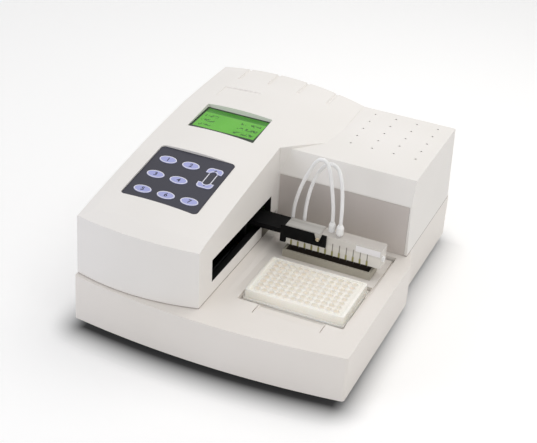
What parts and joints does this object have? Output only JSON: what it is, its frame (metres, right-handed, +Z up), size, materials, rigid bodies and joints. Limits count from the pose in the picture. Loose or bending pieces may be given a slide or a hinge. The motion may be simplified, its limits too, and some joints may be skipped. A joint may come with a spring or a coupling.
{
  "type": "microplate washer",
  "caption": "Bench microplate washer: crowned console with keypad and display, rear tower, and a wash head on an arm that travels over the plate and lifts.",
  "frame": {"origin": "middle of the box round the instrument, without its hoses, on the bench surface", "axes": "+X to the right seen from the front, +Y to the back, +Z up"},
  "size_m": [0.3464, 0.4409, 0.2039],
  "materials": {
    "cover_shell": "fine moulded texture",
    "grey_panel": "satin grey",
    "black_metal": "matte black",
    "grey_sheet": "satin",
    "keypad_film": "embossed film",
    "key_top": "periwinkle print",
    "board_green": "solder mask",
    "window_clear": "clear acrylic",
    "lcd_green": "backlit screen",
    "clear_acrylic": "polished block",
    "white_plastic": "moulded",
    "steel": "bright",
    "milky_hose": "translucent silicone",
    "grey_plastic": "moulded",
    "carrier_plastic": "moulded",
    "aluminium_parts": "milled",
    "bronze": "sintered",
    "dark_plastic": "moulded",
    "belt_rubber": "toothed belt",
    "foot_rubber": "matte",
    "barb_plastic": "moulded"
  },
  "bodies": {
    "root": {"base_housing": "cover_shell", "upper_cover": "cover_shell", "splash_panel": "grey_panel", "slot_backplate": "black_metal", "keypad_overlay": "keypad_film", "keypad_board": "board_green", "main_board": "board_green", "power_supply": "board_green", "display_window": "window_clear", "lcd_module": "lcd_green", "microplate": "white_plastic", "guide_shafts": "steel", "bottom_plate": "steel", "rinse_trough": "grey_plastic", "plate_carrier": "carrier_plastic", "mechanism_bed": "aluminium_parts", "idler_post": "aluminium_parts", "travel_motor": "dark_plastic", "fluid_pumps": "dark_plastic", "pinch_valves": "dark_plastic", "fan_frame": "dark_plastic", "power_inlet": "dark_plastic", "switch_bezel": "dark_plastic", "data_port": "dark_plastic", "timing_belt": "belt_rubber", "rubber_feet": "foot_rubber", "hose_barbs": "barb_plastic"},
    "carriage": {"carriage": "aluminium_parts", "carriage_bushes": "bronze", "lift_rods": "steel", "lift_motor": "dark_plastic", "belt_clamp": "aluminium_parts"},
    "wash_head": {"lift_block": "aluminium_parts", "wash_arm": "black_metal", "head_bracket": "black_metal", "tube_cover": "grey_sheet", "cover_screw": "steel", "manifold": "clear_acrylic", "manifold_plug": "white_plastic", "dispense_needles": "steel", "aspirate_needles": "steel", "supply_fitting": "white_plastic", "suction_fitting": "white_plastic", "hose_stubs": "white_plastic", "supply_hose": "milky_hose", "suction_hose": "milky_hose"},
    "lead_screw": {"lead_screw": "steel"},
    "drive_pulley": {"drive_pulley": "aluminium_parts"},
    "idler_pulley": {"idler_pulley": "aluminium_parts"},
    "power_rocker": {"power_rocker": "dark_plastic"},
    "fan_rotor": {"fan_rotor": "dark_plastic"},
    "key_1": {"key_1": "key_top"},
    "key_2": {"key_2": "key_top"},
    "key_3": {"key_3": "key_top"},
    "key_4": {"key_4": "key_top"},
    "key_5": {"key_5": "key_top"},
    "key_6": {"key_6": "key_top"},
    "key_7": {"key_7": "key_top"},
    "key_plus": {"key_plus": "key_top"},
    "key_minus": {"key_minus": "key_top"}
  },
  "joints": [
    {"name": "head_travel", "type": "slide", "parent": "root", "child": "carriage", "axis": [0, -1, 0], "range_m": [0, 0.1057]},
    {"name": "head_lift", "type": "slide", "parent": "carriage", "child": "wash_head", "axis": [0, 0, 1], "range_m": [-0.0052, 0.015]},
    {"name": "lead_screw_turn", "type": "hinge", "parent": "carriage", "child": "lead_screw", "pos_m": [-0.062, -0.0146, 0.1], "axis": [0, 0, 1], "range_deg": [-690, 245]},
    {"name": "drive_pulley_turn", "type": "hinge", "parent": "root", "child": "drive_pulley", "pos_m": [-0.062, 0.0375, 0.04], "axis": [0, 0, -1], "range_deg": [-10, 690]},
    {"name": "idler_pulley_turn", "type": "hinge", "parent": "root", "child": "idler_pulley", "pos_m": [-0.062, -0.1685, 0.04], "axis": [0, 0, -1], "range_deg": [-10, 690]},
    {"name": "rocker_tilt", "type": "hinge", "parent": "root", "child": "power_rocker", "pos_m": [-0.124, 0.2055, 0.04], "axis": [0, 0, 1], "range_deg": [-5, 5]},
    {"name": "fan_spin", "type": "hinge", "parent": "root", "child": "fan_rotor", "pos_m": [0.096, 0.1935, 0.112], "axis": [0, 1, 0], "continuous": true},
    {"name": "key_1_press", "type": "slide", "parent": "root", "child": "key_1", "axis": [0, 0.1253, -0.9921], "range_m": [0, 0.00045], "stiffness_N_per_m": 400},
    {"name": "key_2_press", "type": "slide", "parent": "root", "child": "key_2", "axis": [0, 0.1253, -0.9921], "range_m": [0, 0.00045], "stiffness_N_per_m": 400},
    {"name": "key_3_press", "type": "slide", "parent": "root", "child": "key_3", "axis": [0, 0.1253, -0.9921], "range_m": [0, 0.00045], "stiffness_N_per_m": 400},
    {"name": "key_4_press", "type": "slide", "parent": "root", "child": "key_4", "axis": [0, 0.1253, -0.9921], "range_m": [0, 0.00045], "stiffness_N_per_m": 400},
    {"name": "key_5_press", "type": "slide", "parent": "root", "child": "key_5", "axis": [0, 0.1253, -0.9921], "range_m": [0, 0.00045], "stiffness_N_per_m": 400},
    {"name": "key_6_press", "type": "slide", "parent": "root", "child": "key_6", "axis": [0, 0.1253, -0.9921], "range_m": [0, 0.00045], "stiffness_N_per_m": 400},
    {"name": "key_7_press", "type": "slide", "parent": "root", "child": "key_7", "axis": [0, 0.1253, -0.9921], "range_m": [0, 0.00045], "stiffness_N_per_m": 400},
    {"name": "key_plus_press", "type": "slide", "parent": "root", "child": "key_plus", "axis": [0, 0.1253, -0.9921], "range_m": [0, 0.00045], "stiffness_N_per_m": 400},
    {"name": "key_minus_press", "type": "slide", "parent": "root", "child": "key_minus", "axis": [0, 0.1253, -0.9921], "range_m": [0, 0.00045], "stiffness_N_per_m": 400}
  ],
  "couplings": [
    {"joint": "lead_screw_turn", "follows": "head_lift", "rad_per_m": -785.4},
    {"joint": "drive_pulley_turn", "follows": "head_travel", "rad_per_m": 112.36},
    {"joint": "idler_pulley_turn", "follows": "head_travel", "rad_per_m": 112.36}
  ]
}
